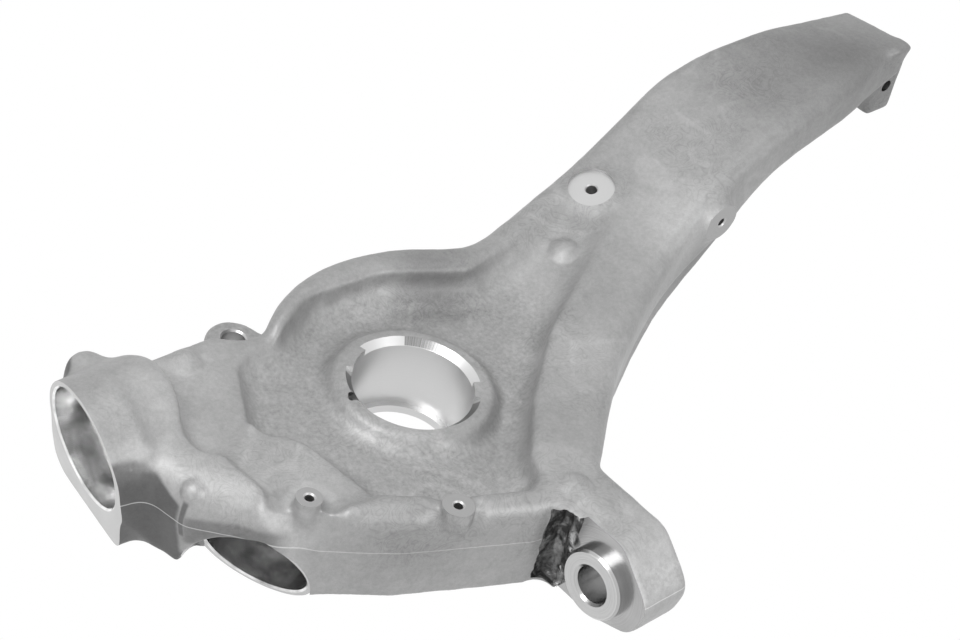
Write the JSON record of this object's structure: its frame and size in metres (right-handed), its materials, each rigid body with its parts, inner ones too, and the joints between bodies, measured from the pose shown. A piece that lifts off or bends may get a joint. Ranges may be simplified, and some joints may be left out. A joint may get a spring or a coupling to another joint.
{
  "type": "steering knuckle",
  "caption": "Swan-neck steering knuckle forged in one piece, with a hub bearing seat, lower joint bores, a tie rod lug and a clamped top end.",
  "frame": {"origin": "centre of the hub bearing's bore, on the forging's parting plane", "axes": "+Z along the hub axis toward the side the picture shows, +Y up the swan neck, +X toward the tie rod lug"},
  "size_m": [0.3064, 0.6267, 0.1617],
  "materials": {
    "forged_aluminium": "as forged, with machined seats and faces"
  },
  "bodies": {
    "root": {"knuckle": "forged_aluminium"}
  },
  "joints": []
}
